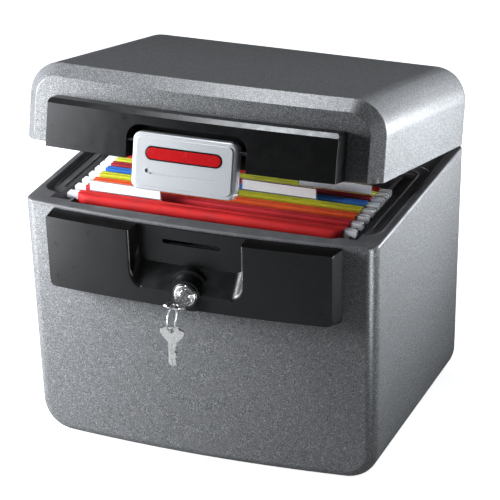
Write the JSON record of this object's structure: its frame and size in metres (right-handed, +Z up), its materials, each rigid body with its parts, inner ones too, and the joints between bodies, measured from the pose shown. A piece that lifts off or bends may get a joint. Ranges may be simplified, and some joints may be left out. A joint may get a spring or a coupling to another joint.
{
  "type": "fireproof document box",
  "caption": "Insulated speckled grey box with a bowed front, a hinged lid standing ajar, a central pull latch, a key lock with keys, and hanging folders inside.",
  "frame": {"origin": "centre of the body's flat underside", "axes": "+Z up, -Y towards the bowed front with the latch and lock, +X to the right as seen from the front; the hinge line runs along X at the rear"},
  "size_m": [0.395, 0.3938, 0.4209],
  "materials": {
    "speckled_case": "satin",
    "fire_insulation": "matte",
    "inner_moulding": "satin",
    "black_panel": "satin",
    "gasket": "matte",
    "latch_face": "satin",
    "badge": "gloss",
    "chrome": "polished",
    "bezel": "satin",
    "zinc_steel": "satin",
    "key_metal": "satin",
    "label_card": "matte",
    "label_clear": "gloss",
    "folder_rod": "satin",
    "folder_red": "matte",
    "folder_crimson": "matte",
    "folder_orange": "matte",
    "folder_olive": "matte",
    "folder_blue": "matte",
    "folder_maroon": "matte",
    "folder_lime": "matte",
    "folder_scarlet": "matte"
  },
  "bodies": {
    "body": {"body_shell": "speckled_case", "body_insulation": "fire_insulation", "body_liner": "inner_moulding", "body_rim": "inner_moulding", "body_front_panel": "black_panel", "strike_plate": "zinc_steel", "lock_housing": "chrome", "lock_bezel": "bezel", "lock_nut": "zinc_steel", "hinge_leaf_body_left": "zinc_steel", "hinge_leaf_body_right": "zinc_steel", "hinge_pin_left": "zinc_steel", "hinge_pin_right": "zinc_steel"},
    "lid": {"lid_shell": "speckled_case", "lid_insulation": "fire_insulation", "lid_liner": "inner_moulding", "lid_gasket": "gasket", "lid_front_panel": "black_panel", "hinge_leaf_lid_left": "zinc_steel", "hinge_leaf_lid_right": "zinc_steel", "latch_pin": "zinc_steel", "latch_spring": "zinc_steel"},
    "latch": {"latch_handle": "latch_face", "latch_badge": "badge", "latch_hook": "zinc_steel"},
    "lock": {"lock_plug": "chrome", "lock_cam": "zinc_steel", "key_in_lock": "key_metal"},
    "key_ring": {"key_ring": "chrome"},
    "spare_key": {"spare_key": "key_metal"},
    "folder_1": {"folder_1_pocket": "folder_red", "folder_1_front_rod": "folder_rod", "folder_1_rear_rod": "folder_rod", "label_tab_front": "label_card"},
    "folder_2": {"folder_2_pocket": "folder_crimson", "folder_2_front_rod": "folder_rod", "folder_2_rear_rod": "folder_rod"},
    "folder_3": {"folder_3_pocket": "folder_orange", "folder_3_front_rod": "folder_rod", "folder_3_rear_rod": "folder_rod"},
    "folder_4": {"folder_4_pocket": "folder_olive", "folder_4_front_rod": "folder_rod", "folder_4_rear_rod": "folder_rod", "label_tab_middle": "label_card"},
    "folder_5": {"folder_5_pocket": "folder_blue", "folder_5_front_rod": "folder_rod", "folder_5_rear_rod": "folder_rod"},
    "folder_6": {"folder_6_pocket": "folder_maroon", "folder_6_front_rod": "folder_rod", "folder_6_rear_rod": "folder_rod", "label_tab_right": "label_card"},
    "folder_7": {"folder_7_pocket": "folder_lime", "folder_7_front_rod": "folder_rod", "folder_7_rear_rod": "folder_rod", "label_tab_clear": "label_clear"},
    "folder_8": {"folder_8_pocket": "folder_scarlet", "folder_8_front_rod": "folder_rod", "folder_8_rear_rod": "folder_rod"}
  },
  "joints": [
    {"name": "lid_hinge", "type": "hinge", "parent": "body", "child": "lid", "pos_m": [0, 0.1507, 0.274], "axis": [-1, 0, 0], "range_deg": [-12.75, 80]},
    {"name": "latch_pivot", "type": "hinge", "parent": "lid", "child": "latch", "pos_m": [0, -0.16334, 0.36556], "axis": [-1, 0, 0], "range_deg": [-11, 25], "stiffness_Nm_per_rad": 0.3},
    {"name": "lock_turn", "type": "hinge", "parent": "body", "child": "lock", "pos_m": [0, -0.15753, 0.2065], "axis": [0, -1, 0], "range_deg": [0, 90]},
    {"name": "key_ring_swing", "type": "hinge", "parent": "lock", "child": "key_ring", "pos_m": [0, -0.21749, 0.2075], "axis": [0, -1, 0], "range_deg": [-20, 20]},
    {"name": "spare_key_swing", "type": "hinge", "parent": "key_ring", "child": "spare_key", "pos_m": [0, -0.21749, 0.1839], "axis": [0, -1, 0], "range_deg": [-25, 25]},
    {"name": "folder_1_slide", "type": "slide", "parent": "body", "child": "folder_1", "axis": [0, 1, 0], "range_m": [-0.008, 0.0105]},
    {"name": "folder_2_slide", "type": "slide", "parent": "body", "child": "folder_2", "axis": [0, 1, 0], "range_m": [-0.0105, 0.0092]},
    {"name": "folder_3_slide", "type": "slide", "parent": "body", "child": "folder_3", "axis": [0, 1, 0], "range_m": [-0.0092, 0.0078]},
    {"name": "folder_4_slide", "type": "slide", "parent": "body", "child": "folder_4", "axis": [0, 1, 0], "range_m": [-0.0078, 0.0064]},
    {"name": "folder_5_slide", "type": "slide", "parent": "body", "child": "folder_5", "axis": [0, 1, 0], "range_m": [-0.0064, 0.005]},
    {"name": "folder_6_slide", "type": "slide", "parent": "body", "child": "folder_6", "axis": [0, 1, 0], "range_m": [-0.005, 0.0036]},
    {"name": "folder_7_slide", "type": "slide", "parent": "body", "child": "folder_7", "axis": [0, 1, 0], "range_m": [-0.0036, 0.0022]},
    {"name": "folder_8_slide", "type": "slide", "parent": "body", "child": "folder_8", "axis": [0, 1, 0], "range_m": [-0.0022, 0.046]}
  ]
}
